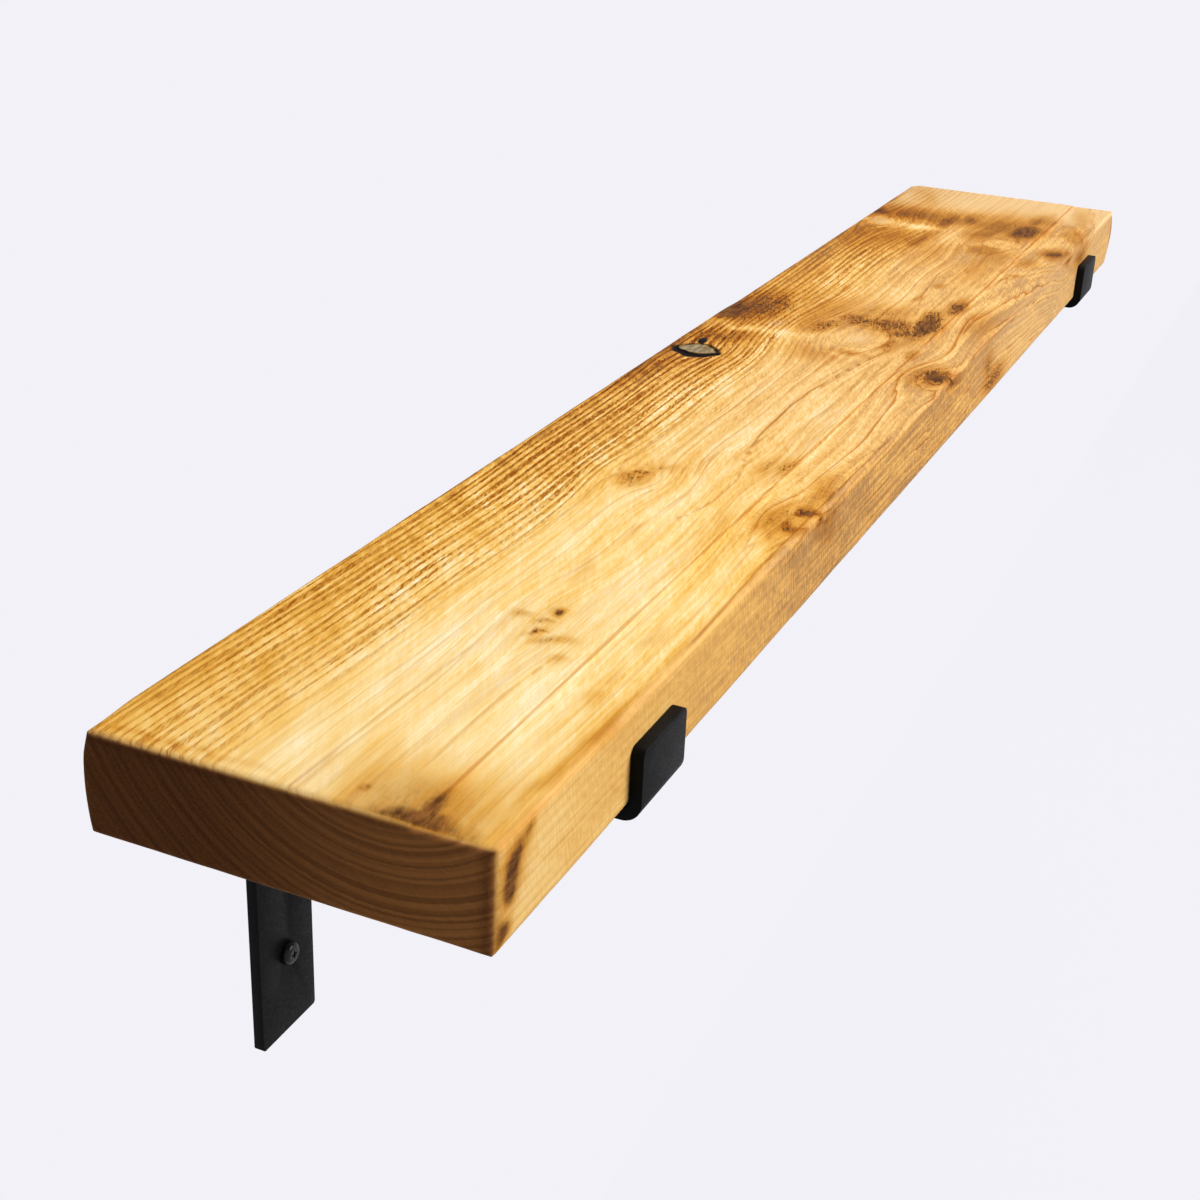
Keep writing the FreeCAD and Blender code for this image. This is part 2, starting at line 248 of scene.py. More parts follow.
# Stains on the front face, with down in the place of across
FRONT_STAINS = (
    (20, 5, 7, 5, -30, 0.7),
    (13, 11, 9, 8, -40, 0.9),
    (8, 18, 6, 9, 20, 0.86),
    (4, 34, 4, 6, 0, 0.85),
    (309, 1, 7, 4, 0, 0.9),
    (318, 9, 16, 8, 20, 0.35),
    (531, 1, 16, 4, 15, 0.8),
    (640, 31, 26, 7, 0, 0.75),
    (622, 20, 14, 9, 30, 0.5),
    (884, 10, 24, 6, 0, 0.7),
    (838, 2, 12, 4, 0, 0.7),
)

# Pale wood by the knots
PALE_MARKS = (
    (564, 7, 8, 12, 0, 0.55),
    (559, 28, 4.5, 17, -8, 0.75),
    (563, 52, 6.5, 14, 6, 0.7),
    (569, 69, 13, 7, 30, 0.5),
    (576, 91, 20, 17, 0, 0.36),
    (540, 92, 2.6, 11, 0, 0.45),
    (867, 19, 14, 15, 0, 0.75),
    (864, 48, 6, 18, 0, 0.8),
    (850, 74, 30, 4.5, -4, 0.55),
    (846, 111, 12, 10, 0, 0.4),
    (866, 137, 15, 7, 0, 0.65),
    (306, 99, 36, 10, 0, 0.4),
    (412, 94, 55, 4, 0, 0.35),
    (690, 86, 34, 7, -6, 0.35),
    (720, 62, 60, 5, 0, 0.3),
    (960, 75, 40, 40, -10, 0.3),
)

# Pinkish wood of the live knots
PINK_MARKS = (
    (574, 92, 12, 11, 0, 0.8),
    (581, 40, 6, 3, 0, 0.9),
    (645, 77, 9, 3.2, -12, 0.9),
    (867, 18, 10, 9, 0, 0.85),
    (845, 111, 8, 7, 0, 0.6),
    (962, 100, 46, 75, -20, 0.7),
)

# Thin dark lines on the top, each as points along and across, and its strength: the first runs along the ledge,
# the others along the grain
LINE_FADE = 8
LINES = (
    (((0, 128.8), (1000, 128.8)), 0.65),
    (((268, 103), (278, 108), (290, 110.5), (310, 112), (329, 111.5), (343, 109), (356, 105)), 0.5),
    (((345, 108.5), (356, 105), (372, 102), (392, 99.5), (440, 98), (470, 99), (506, 104)), 0.8),
    (((436, 116), (470, 117), (520, 115)), 0.5),
    (((500, 103), (530, 108), (562, 114)), 0.8),
    (((500, 120), (545, 121)), 0.7),
    (((0, 83), (60, 84), (120, 86)), 0.35),
    (((40, 115), (90, 114), (130, 118)), 0.4),
    (((160, 157), (260, 155), (420, 157)), 0.6),
    (((640, 108), (690, 98), (750, 93)), 0.5),
)

# Rims of the live knots
RIMS = (
    (577, 92, 20, 17, 8, 0.3),
    (867, 19, 16, 17, 0, 0.5),
    (846, 111, 15, 14, 0, 0.5),
)

# Finishes, as linear colours
WHITE_WOOD = (0.93, 0.77, 0.48)
PALE_WOOD = (0.885, 0.665, 0.315)
STRAW_WOOD = (0.85, 0.54, 0.160)
GOLD_WOOD = (0.735, 0.385, 0.063)
HONEY_WOOD = (0.55, 0.25, 0.036)
SAW_BROWN = (0.27, 0.095, 0.006)
SAW_TINT = (0.46, 0.26, 0.05)
STAIN_FAINT = (0.86, 0.73, 0.51)
STAIN_TAN = (0.61, 0.42, 0.19)
STAIN_FULL = (0.37, 0.225, 0.125)
STAIN_BROWN = (0.20, 0.078, 0.020)
STAIN_DEEP = (0.075, 0.026, 0.008)
PINK_WOOD = (0.725, 0.485, 0.235)
RING_TINT = (0.66, 0.40, 0.15)
LINE_TINT = (0.52, 0.28, 0.08)
KNOT_CORE = (0.36, 0.29, 0.17)
KNOT_SHADE = (0.20, 0.13, 0.06)
# Black of the dead knot: its dark bark, with painted shade in the crack round its core
KNOT_BLACK_AND_CRACK_SHADE = (0.010, 0.008, 0.008)
END_LIGHT = (0.80, 0.33, 0.095)
END_DARK = (0.165, 0.058, 0.021)
COAT_BLACK = (0.002, 0.002, 0.002)
COAT_GREY = (0.005, 0.005, 0.005)
SCREW_BLACK = (0.004, 0.004, 0.004)
SCREW_WORN = (0.016, 0.016, 0.016)
FLOOR_BOUNCE = (0.30, 0.30, 0.31)
FLOOR_GLOW = (0.93, 0.922, 0.977)
STUDIO_WHITE = (0.89, 0.882, 0.935)

# Ramps of the wood: places and shades
RIDGE_STOPS = (
    (0, 0.35), (0.12, 0.9), (0.4, 1), (0.55, 0.7), (0.68, 0.2), (0.8, 0), (0.92, 0.05), (1, 0.35)
)
RING_EDGE_STOPS = ((0, 0), (0.4, 0), (0.75, 0.3), (0.92, 1), (0.97, 0.8), (1, 0))
WOOD_STOPS = (
    (0.02, SAW_BROWN), (0.24, HONEY_WOOD), (0.45, GOLD_WOOD),
    (0.65, STRAW_WOOD), (0.85, PALE_WOOD), (1, WHITE_WOOD),
)
STAIN_STOPS = ((0, (1, 1, 1)), (0.3, STAIN_FAINT), (0.6, STAIN_TAN), (0.9, STAIN_FULL))

# Detail and roughness of the finer noise
FINE = (3.0, 0.6)

# Stage
STAGE_SIZE = 16
FLOOR_HEIGHT = -0.5
GLOW_SHARE = 0.93
WALL_STANDOFF = 0.8 * MM
ROOM_LIGHT = 0.2
LAMP_AIM = Vector((0, -0.08, 0.1))
# Lamps: name, place, size in metres, power in watts
LAMPS = (
    ("front_lamp", (0.4, -2.0, 1.5), 1.6, 77),
    ("top_lamp", (0.3, -0.2, 2.2), 1.4, 22),
)
CAMERA_PLACE = (-0.93133, -0.38465, 0.43250)
CAMERA_TURN = (64.9255, -2.1733, -65.2100)
CAMERA_LENS = 55.13
CAMERA_SENSOR = 36
CAMERA_CLIP = 0.01


def make_active(piece):
    bpy.ops.object.select_all(action="DESELECT")
    piece.select_set(True)
    bpy.context.view_layer.objects.active = piece


def begin_edit(piece):
    make_active(piece)
    bpy.ops.object.mode_set(mode="EDIT")


def end_edit():
    bpy.ops.object.mode_set(mode="OBJECT")


def pick(piece, kind, wanted):
    """Selects the corners, edges or faces of the piece in edit mode whose middle passes the test."""
    bpy.context.tool_settings.mesh_select_mode = (kind == "verts", kind == "edges", kind == "faces")
    bpy.ops.mesh.select_all(action="DESELECT")
    cage = bmesh.from_edit_mesh(piece.data)
    for item in getattr(cage, kind):
        item.select_set(wanted(item))
    cage.select_flush_mode()
    bmesh.update_edit_mesh(piece.data)


def middle(edge):
    return (edge.verts[0].co + edge.verts[1].co) / 2


def runs(axis):
    """A test for the edges that run along one axis."""
    return lambda edge: abs(edge.verts[0].co[axis] - edge.verts[1].co[axis]) > TINY


def apply_modifier(piece, kind, **settings):
    make_active(piece)
    modifier = piece.modifiers.new(kind.lower(), kind)
    for name, setting in settings.items():
        setattr(modifier, name, setting)
    bpy.ops.object.modifier_apply(modifier=modifier.name)


def cut_away(piece, cutter):
    """Cuts the shape of the cutter out of the piece and throws the cutter away."""
    apply_modifier(piece, "BOOLEAN", object=cutter, operation="DIFFERENCE", solver="EXACT")
    bpy.data.objects.remove(cutter)


def settle(piece):
    """Puts the piece's place into its mesh, so that its object stays at the origin."""
    make_active(piece)
    bpy.ops.object.transform_apply(location=True, rotation=True, scale=True)


def smooth_to(piece, degrees):
    make_active(piece)
    bpy.ops.object.shade_smooth_by_angle(angle=math.radians(degrees))


def hang(piece, node, material):
    """Names the piece, gives it its finish and lets it stand for its CAD node."""
    piece.name = f"{node}_shown"
    piece.data.name = piece.name
    piece.data.materials.clear()
    piece.data.materials.append(material)
    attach(piece, "root")
    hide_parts(node)


class Finish:
    """A material and short calls for the nodes that it is made of."""

    def __init__(self, name):
        self.material = bpy.data.materials.new(name)
        self.material.use_nodes = True
        self.nodes = self.material.node_tree.nodes
        self.links = self.material.node_tree.links
        self.shader = self.nodes["Principled BSDF"]

    def feed(self, socket, source):
        if isinstance(source, bpy.types.NodeSocket):
            self.links.new(source, socket)
        else:
            socket.default_value = source

    def math(self, operation, *sources):
        node = self.nodes.new("ShaderNodeMath")
        node.operation = operation
        for socket, source in zip(node.inputs, sources):
            self.feed(socket, source)
        return node.outputs[0]

    def times(self, first, second):
        return self.math("MULTIPLY", first, second)

    def add_up(self, *parts):
        """Adds up parts, each a source and how much of it counts."""
        total = 0.0
        for source, share in parts:
            if isinstance(source, bpy.types.NodeSocket):
                total = self.math("MULTIPLY_ADD", source, float(share), total)
            else:
                total = self.math("ADD", total, source * share)
        return total

    def soft_step(self, source, low, high):
        node = self.nodes.new("ShaderNodeMapRange")
        node.interpolation_type = "SMOOTHSTEP"
        self.feed(node.inputs["Value"], source)
        node.inputs["From Min"].default_value = min(low, high)
        node.inputs["From Max"].default_value = max(low, high)
        node.inputs["To Min"].default_value = float(low > high)
        node.inputs["To Max"].default_value = float(low < high)
        return node.outputs["Result"]

    def ramp(self, source, stops):
        node = self.nodes.new("ShaderNodeValToRGB")
        elements = node.color_ramp.elements
        while len(elements) < len(stops):
            elements.new(0.5)
        for element, (place, shade) in zip(elements, stops):
            element.position = place
            element.color = (*shade, 1) if isinstance(shade, tuple) else (shade, shade, shade, 1)
        self.feed(node.inputs["Fac"], source)
        return node.outputs["Color"]

    def mix(self, factor, first, second, blend="MIX"):
        node = self.nodes.new("ShaderNodeMix")
        node.data_type = "RGBA"
        node.blend_type = blend
        self.feed(node.inputs["Factor"], factor)
        for socket, source in ((node.inputs[6], first), (node.inputs[7], second)):
            self.feed(socket, (*source, 1) if isinstance(source, tuple) else source)
        return node.outputs[2]

    def mix_shaders(self, factor, first, second):
        node = self.nodes.new("ShaderNodeMixShader")
        for socket, source in zip(node.inputs, (factor, first, second)):
            self.links.new(source, socket)
        return node.outputs[0]

    def attribute(self, name, output="Fac"):
        node = self.nodes.new("ShaderNodeAttribute")
        node.attribute_name = name
        return node.outputs[output]

    def object_place(self):
        return self.nodes.new("ShaderNodeTexCoord").outputs["Object"]

    def noise(self, place, size, turn=0, detail=2.0, roughness=0.5):
        """Noise that fills 0 to 1, its grains of the given size in millimetres and turned in degrees."""
        mapping = self.nodes.new("ShaderNodeMapping")
        mapping.vector_type = "TEXTURE"
        mapping.inputs["Rotation"].default_value = (0, 0, math.radians(turn))
        mapping.inputs["Scale"].default_value = [side * MM for side in size]
        self.feed(mapping.inputs["Vector"], place)
        node = self.nodes.new("ShaderNodeTexNoise")
        node.inputs["Scale"].default_value = 1.0
        node.inputs["Detail"].default_value = detail
        node.inputs["Roughness"].default_value = roughness
        self.feed(node.inputs["Vector"], mapping.outputs["Vector"])
        return self.soft_step(node.outputs["Fac"], 0.3, 0.7)

    def wander(self, source, scale):
        """Noise along a single value, stretched to fill 0 to 1."""
        node = self.nodes.new("ShaderNodeTexNoise")
        node.noise_dimensions = "1D"
        node.inputs["Scale"].default_value = scale
        node.inputs["Detail"].default_value = 1.0
        self.feed(node.inputs["W"], source)
        return self.soft_step(node.outputs["Fac"], 0.3, 0.7)

    def bump(self, height, strength, distance):
        node = self.nodes.new("ShaderNodeBump")
        node.inputs["Strength"].default_value = strength
        node.inputs["Distance"].default_value = distance
        self.feed(node.inputs["Height"], height)
        self.feed(self.shader.inputs["Normal"], node.outputs["Normal"])


def waxed_wood():
    """Rough-sawn softwood under honey wax, from the grain that the board's mesh carries."""
    finish = Finish("waxed_wood")
    times, add_up = finish.times, finish.add_up
    grain = finish.attribute("grain", "Vector")
    flat = finish.attribute("flat", "Vector")
    names = ("ring", "light", "sawn", "coarse", "vein", "stain")
    ring, light, sawn, coarse, vein, stain = (finish.attribute(name) for name in names)

    # Noise along the grain, and noise of the saw and torn fibres across it
    fibre = finish.noise(grain, (24, 0.6, 0.6), 0, *FINE)
    strand = finish.noise(grain, (60, 2, 2), 0, *FINE)
    streak = finish.noise(grain, (125, 4.3, 4.3))
    mottle = finish.noise(grain, (77, 24, 24))
    blotch = finish.noise(grain, (11, 3, 3), 0, *FINE)
    tick = finish.noise(flat, (6.5, 1.1, 1), -TICK_SLANT)
    grit = finish.noise(flat, (3.4, 1.5, 1), -TICK_SLANT)
    clump = finish.noise(flat, (9, 2.3, 1), -TICK_SLANT)
    fleck = finish.noise(flat, (3, 2.4, 1))
    scrape = finish.noise(flat, (26, 2.4, 1), -SAW_SLANT, *FINE)
    band = finish.noise(flat, (62, 12, 1), -SAW_SLANT)
    sweep = finish.noise(flat, (40, 6, 1), -2 * SAW_SLANT)
    hatch = finish.noise(flat, (1.5, 8, 1), TICK_SLANT, *FINE)
    stroke = add_up((tick, 0.5), (clump, 0.3), (grit, 0.2))
    tone = finish.wander(ring, 0.8)

    # Sawn rows along the rings
    zigzag = times(add_up((scrape, 0.08), (grit, 0.1), (-0.09, 1)), sawn)
    jitter = add_up((streak, 0.5), (-0.25, 1), (zigzag, 1))
    ring_part = finish.math("FRACT", finish.math("ADD", ring, jitter))
    ridge = finish.ramp(ring_part, RIDGE_STOPS)
    rows = times(sawn, add_up((mottle, 0.5), (0.65, 1)))
    broken = times(ridge, add_up((clump, 0.5), (0.6, 1)))
    row_light = times(add_up((broken, 0.2), (sweep, 0.16), (-0.2, 1)), rows)

    # How light the wood is
    scrape_light = times(add_up((scrape, 1), (-0.5, 1)), add_up((band, 0.12), (0.04, 1)))
    scrape_light = times(scrape_light, add_up((coarse, 2), (0.3, 1)))
    coarse_light = times(add_up((stroke, 1), (-0.5, 1)), coarse)
    grain_light = add_up((strand, 0.2), (fibre, 0.18), (-0.19, 1))
    grain_light = times(grain_light, add_up((coarse, 3), (0.3, 1)))
    tone_light = times(add_up((tone, 0.2), (-0.1, 1)), vein)
    hatch_light = times(add_up((hatch, 0.32), (-0.16, 1)), finish.attribute("front"))
    lightness = add_up(
        (light, 1), (row_light, 1), (scrape_light, 1), (grain_light, 1), (coarse_light, 1), (tone_light, 1),
        (hatch_light, 1), (mottle, 0.18), (band, 0.1), (-0.14, 1)
    )
    wood = finish.ramp(lightness, WOOD_STOPS)
    wood = finish.mix(finish.attribute("pink"), wood, PINK_WOOD)

    # Dark dashes between the rows, ring edges and drawn lines
    dash = finish.math("MULTIPLY_ADD", finish.soft_step(stroke, 0.38, 0.64), 0.8, 0.25)
    dash = times(times(dash, finish.soft_step(ridge, 0.8, 0.2)), rows)
    wood = finish.mix(times(dash, 0.9), wood, SAW_TINT, "MULTIPLY")
    edge_share = finish.math("MULTIPLY_ADD", finish.soft_step(tone, 0.3, 0.9), 0.75, 0.2)
    edge = times(times(finish.ramp(ring_part, RING_EDGE_STOPS), edge_share), vein)
    wood = finish.mix(edge, wood, RING_TINT, "MULTIPLY")
    gap = finish.math("ABSOLUTE", finish.attribute("line"))
    drawn = finish.soft_step(add_up((gap, 1), (strand, 0.5), (-0.25, 1)), 1.1, 0.2)
    drawn = times(drawn, finish.attribute("mark"))
    wood = finish.mix(times(drawn, 0.9), wood, LINE_TINT, "MULTIPLY")

    # Stains, first as a tint and then as dark specks
    patchy = times(add_up((stroke, 0.75), (fleck, 0.25), (-0.5, 1)), finish.attribute("sharp"))
    worn = times(stain, add_up((patchy, 1.6), (1, 1)))
    wood = finish.mix(1.0, wood, finish.ramp(worn, STAIN_STOPS), "MULTIPLY")
    speck = add_up((patchy, 1.7), (stain, 1.3), (-0.82, 1))
    stain_shade = finish.ramp(blotch, ((0.1, STAIN_DEEP), (0.9, STAIN_BROWN)))
    wood = finish.mix(finish.soft_step(speck, -0.1, 0.3), wood, stain_shade)

    # End grain and the dead knot
    pores = finish.noise(finish.object_place(), (1.1, 0.7, 0.7))
    end_tone = finish.wander(add_up((ring, 1), (streak, 0.06)), 1.5)
    end_arc = times(add_up((end_tone, 1), (-0.5, 1)), add_up((light, 0.6), (0.06, 1)))
    end_shade = add_up((light, 1), (end_arc, 1), (pores, 0.1), (scrape, 0.06), (-0.06, 1))
    end_wood = finish.ramp(end_shade, ((0, END_DARK), (1, END_LIGHT)))
    wood = finish.mix(finish.attribute("end"), wood, end_wood)
    core_wood = finish.ramp(blotch, ((0.1, KNOT_CORE), (0.9, KNOT_SHADE)))
    wood = finish.mix(finish.attribute("core"), wood, core_wood)
    # The dead knot's black: dark bark, and painted shade in the crack between rim and core
    wood = finish.mix(finish.attribute("black"), wood, KNOT_BLACK_AND_CRACK_SHADE)
    finish.feed(finish.shader.inputs["Base Color"], wood)

    # Sheen and relief
    finish.feed(finish.shader.inputs["Roughness"], finish.math("MULTIPLY_ADD", fibre, 0.12, 0.46))
    finish.shader.inputs["Specular IOR Level"].default_value = 0.01
    relief = add_up(
        (fibre, 0.15), (strand, 0.15), (row_light, 0.7), (dash, -0.1), (coarse_light, 0.6), (scrape_light, 1),
        (hatch_light, 1), (drawn, -0.15)
    )
    finish.bump(relief, 0.5, 0.4 * MM)
    return finish.material


def powder_coat():
    """Black satin powder coat with a fine orange-peel skin."""
    finish = Finish("powder_coat")
    place = finish.object_place()
    peel = finish.noise(place, (0.9, 0.9, 0.9))
    cloud = finish.noise(place, (16, 16, 16))
    shade = finish.ramp(cloud, ((0.3, COAT_BLACK), (0.75, COAT_GREY)))
    finish.feed(finish.shader.inputs["Base Color"], shade)
    finish.feed(finish.shader.inputs["Roughness"], finish.math("MULTIPLY_ADD", peel, 0.14, 0.44))
    finish.shader.inputs["Specular IOR Level"].default_value = 0.05
    finish.bump(peel, 0.22, 0.12 * MM)
    return finish.material


def black_screw():
    """Black coated steel, a little worn on the high spots."""
    finish = Finish("black_screw")
    place = finish.object_place()
    grit = finish.noise(place, (0.6, 0.6, 0.6), 0, 3.0)
    shade = finish.ramp(grit, ((0.35, SCREW_BLACK), (0.8, SCREW_WORN)))
    finish.feed(finish.shader.inputs["Base Color"], shade)
    finish.feed(finish.shader.inputs["Roughness"], finish.math("MULTIPLY_ADD", grit, 0.2, 0.22))
    finish.shader.inputs["Specular IOR Level"].default_value = 0.18
    finish.bump(grit, 0.15, 0.05 * MM)
    return finish.material


def even_lines(cuts, length, zone, inside):
    """Grid lines along a side of the board: some close together inside each end zone, the rest even."""
    segments = math.prod(cut + 1 for cut in cuts)
    near = zone * (np.arange(inside) / inside) ** EDGE_CROWDING
    between = np.linspace(zone, length - zone, segments + 1 - 2 * inside)
    return np.concatenate([near, between, length - near[::-1]])


def ease(one, one_face, other, other_face, radius):
    """Rounds the edge between two faces of the board by pulling the points near it onto an arc."""
    one_way = 1 if one_face == 0 else -1
    other_way = 1 if other_face == 0 else -1
    one_depth = (one - one_face) * one_way
    other_depth = (other - other_face) * other_way
    radius = np.broadcast_to(radius, one.shape)
    near = (one_depth < radius) & (other_depth < radius)
    radius = radius[near]
    one_arm = radius - one_depth[near]
    other_arm = radius - other_depth[near]
    pull = radius / np.maximum(np.hypot(one_arm, other_arm), radius)
    one[near] = one_face + one_way * (radius - one_arm * pull)
    other[near] = other_face + other_way * (radius - other_arm * pull)


def step(values, low, high):
    """A smooth step from 0 at low to 1 at high."""
    part = np.clip((values - low) / (high - low), 0, 1)
    return part * part * (3 - 2 * part)


def fade(values, low, high):
    """A smooth step from 1 at low to 0 at high."""
    return 1 - step(values, low, high)


def bell(values, at, reach):
    """A smooth bump, 1 at its middle and about a third at its reach."""
    return np.exp(-(((values - at) / reach) ** 2))


def oval(along, across, row):
    """Distance of each point from the middle of a turned oval mark, 1 on its rim."""
    along_at, across_at, half_length, half_width, turn = row[:5]
    angle = math.radians(turn)
    one = (along - along_at) * math.cos(angle) + (across - across_at) * math.sin(angle)
    other = (across - across_at) * math.cos(angle) - (along - along_at) * math.sin(angle)
    return np.hypot(one / half_length, other / half_width)


def spread(along, across, rows):
    """How strongly the marks cover each point, each full at its middle and fading past its rim."""
    cover = np.zeros_like(along)
    for row in rows:
        cover = np.maximum(cover, row[5] * np.exp(-0.7 * oval(along, across, row) ** 2.4))
    return cover


def rough(points, wave, seed):
    """Smooth noise between -1 and 1 at each point, with the given wavelength along each side."""
    return np.array([noise.noise(Vector(point)) for point in points / np.array(wave) + seed])


def read_points(piece):
    points = np.empty(len(piece.data.vertices) * 3)
    piece.data.vertices.foreach_get("co", points)
    return points.reshape(-1, 3)


def write_points(piece, points):
    piece.data.vertices.foreach_set("co", points.ravel())
    piece.data.update()


def write_field(piece, name, values):
    """Keeps one number or one vector at each corner of the mesh for the material to read."""
    kind, key = ("FLOAT", "value") if values.ndim == 1 else ("FLOAT_VECTOR", "vector")
    field = piece.data.attributes.new(name, kind, "POINT")
    field.data.foreach_set(key, np.ascontiguousarray(values, dtype=np.float32).ravel())


def cut_board_grid():
    """Starts the board from a block and cuts it into a grid, finer round the dead knot."""
    bpy.ops.mesh.primitive_cube_add(size=1, location=(BOARD_LOW + BOARD_HIGH) / 2)
    board = bpy.context.object
    board.scale = BOARD_SIZE
    settle(board)
    begin_edit(board)
    for axis, cuts in enumerate((GRID_ALONG, GRID_ACROSS, GRID_DOWN)):
        for count in cuts:
            pick(board, "edges", runs(axis))
            bpy.ops.mesh.subdivide(number_cuts=count)
    knot = Vector((BOARD_LOW.x + DEAD_KNOT[0] * MM, BOARD_HIGH.y - DEAD_KNOT[1] * MM))
    pick(
        board,
        "faces",
        lambda face: face.normal.z > 0.9 and (face.calc_center_median().xy - knot).length < KNOT_GRID_REACH,
    )
    bpy.ops.mesh.subdivide(number_cuts=KNOT_GRID_CUTS)
    end_edit()
    return board


def shape_board(board):
    """Gives the board its worn shape and returns its points along, across and down in millimetres."""
    length, width, thick = (side / MM for side in BOARD_SIZE)
    points = read_points(board)
    along = (points[:, 0] - BOARD_LOW.x) / MM
    across = (BOARD_HIGH.y - points[:, 1]) / MM
    down = (BOARD_HIGH.z - points[:, 2]) / MM

    ledge_at = width - STRIP_WIDTH
    across_lines = even_lines(GRID_ACROSS, width, *ACROSS_EDGE)
    ledge = np.argmin(abs(across_lines - ledge_at))
    across_lines[ledge] = ledge_at
    across_lines[ledge + 1] = ledge_at + LEDGE_RUN
    for values, side, lines in (
        (along, length, even_lines(GRID_ALONG, length, *ALONG_EDGE)),
        (across, width, across_lines),
        (down, thick, even_lines(GRID_DOWN, thick, *DOWN_EDGE)),
    ):
        values[:] = np.interp(values, np.linspace(0, side, len(lines)), lines)

    worn = 1 + EDGE_WEAR * rough(np.column_stack([along, across, down]), (40, 400, 400), 3.1)
    sides = {"along": (along, length), "across": (across, width), "down": (down, thick)}
    for one, one_end, other, other_end, radius in EASED_EDGES:
        (one_depth, one_size), (other_depth, other_size) = sides[one], sides[other]
        ease(one_depth, one_end * one_size, other_depth, other_end * other_size, radius * worn)

    by_back = fade(across, 0, 26)
    by_top = fade(down, 0, 12)
    across += BACK_CROWN * (2 * down / thick - 1) ** 2 * by_back
    across += BACK_WEAR * (fade(along, 6, 30) + step(along, 588, 616)) * by_back * by_top
    bulge = BULGE * np.sin(np.pi * np.clip(down / BULGE_HEIGHT, 0, 1))
    along += bulge * step(along, length - BULGE_RUN, length)
    down += LEDGE_DROP * step(across, ledge_at - 0.01, ledge_at + LEDGE_RUN) * by_top

    on_top = down < 3
    rim = knot_reach(along, across, DEAD_KNOT)
    core = knot_reach(along, across, DEAD_CORE)
    crack = CRACK_DEPTH * fade(rim, 0.86, 1.0) * step(core, 0.94, 1.12)
    facet = FACET_DEPTH * (abs(across - DEAD_CORE[1]) / DEAD_CORE[3]) ** 1.3 * fade(core, 0.94, 1.0)
    bead = -BEAD_HEIGHT * np.sqrt(np.clip(1 - oval(along, across, KNOT_BEAD) ** 2, 0, 1))
    down += np.where(on_top, crack + facet + bead, 0)

    place = np.column_stack([along, across, down])
    hump = np.column_stack([rough(place, HUMP_WAVE, seed) for seed in HUMP_SEEDS])
    grit = np.column_stack([rough(place, GRIT_WAVE, seed) for seed in GRIT_SEEDS])
    return place + HUMP_HEIGHT * hump + GRIT_HEIGHT * grit


def knot_reach(along, across, knot):
    """Distance from the middle of the dead knot or its core, 1 on its pointed, wavering rim."""
    along_at, across_at, half_length, half_width = knot
    one = (along - along_at) / half_length
    other = (across - across_at) / half_width
    angle = np.arctan2(other, one)
    reach = (abs(one) ** KNOT_POWER + abs(other) ** KNOT_POWER) ** (1 / KNOT_POWER)
    tips = bell(abs(angle), np.pi, 0.3) + bell(angle, np.pi / 2, 0.3)
    return reach / (1 + 0.1 * tips + 0.05 * np.sin(3 * angle + 0.6) + 0.03 * np.sin(8 * angle))


def drawn_lines(along, across):
    """Signed distance in millimetres from the nearest drawn grain line, and how strong that line is there."""
    gaps = []
    for line, strength in LINES:
        line_along, line_across = np.array(line).T
        begun = step(along, line_along[0] - LINE_FADE, line_along[0] + LINE_FADE)
        left = fade(along, line_along[-1] - LINE_FADE, line_along[-1] + LINE_FADE)
        gaps.append((across - np.interp(along, line_along, line_across), strength * begun * left))
    for rim in RIMS:
        gaps.append(((oval(along, across, rim) - 1) * min(rim[2:4]), rim[5]))
    nearest = np.full_like(along, 9)
    side = np.ones_like(along)
    mark = np.zeros_like(along)
    for gap, strength in gaps:
        closer = abs(gap) < nearest
        nearest = np.where(closer, abs(gap), nearest)
        mark = np.where(closer, strength, mark)
        side = np.where(gap < 0, -side, side)
    return side * nearest, mark


def swing_grain(place):
    """Where the grain runs at each point: its place across, swung round the knots, and its count of rings."""
    along, across, down = place.T
    swung = across + 0.8 * np.sin(along / 61 + 1.1) + 0.4 * np.sin(along / 23 + 0.4)
    wavy = step(across, 62, 92) * step(along, 90, 240) * fade(along, 760, 860)
    swung += 5 * wavy * rough(place, (75, 26, 26), 211.3)
    rise = np.zeros_like(along)
    for along_at, across_at, half_length, half_width, swing, rings in KNOTS.values():
        near = bell(along, along_at, 2.6 * half_length) * bell(across, across_at, 1.9 * half_width)
        swung -= (across - across_at) * swing * near
        inside = bell(along, along_at, 1.3 * half_length) * bell(across, across_at, 1.3 * half_width)
        rise += rings * inside * bell(down, 0, 1.3 * half_width)
    radius = np.hypot(swung - PITH_ACROSS - 3 * np.sin(along / 160), down + PITH_ABOVE)
    return swung, radius / RING_SPACING + along / 700 + rise


def top_light(along, across, swung):
    """How light the top is: palest in the middle near the left end, duller by the back and far off."""
    light = 0.49 + 0.13 * step(across, 6, 50) + 0.21 * step(swung, 48, 76)
    light -= (0.12 * step(along, 180, 330) + 0.18 * step(along, 450, 560)) * step(swung, 44, 80)
    dull = 0.1 * step(along, 120, 300) + 0.12 * step(along, 380, 480) * fade(along, 600, 680)
    light -= dull * fade(across, 8, 42)
    light -= 0.05 * step(along, 230, 330) + 0.05 * step(along, 420, 520) + 0.07 * step(along, 690, 800)
    light -= 0.11 * bell(along, 270, 60) * step(across, 78, 88)
    light -= 0.03 * bell(along, 860, 60) + 0.02 * step(along, 900, 950)
    light += 0.05 * bell(across, 46, 20) * fade(along, 720, 800)
    light -= 0.07 * step(across, 126, 132) + 0.08 * step(across, 144, 154) + 0.1 * step(across, 154, 158)
    return light - 0.12 * bell(along, 576, 34) * bell(across, 91, 22)


def side_light(along, down, on_front):
    """How light the long sides and the underside are: palest near the left end."""
    light = 0.33 + 0.32 * fade(along, 20, 170) - 0.12 * step(along, 620, 900)
    light -= 0.13 * step(along, 180, 300) * fade(along, 560, 700)
    return light - 0.08 * fade(down, 1, 9) * on_front


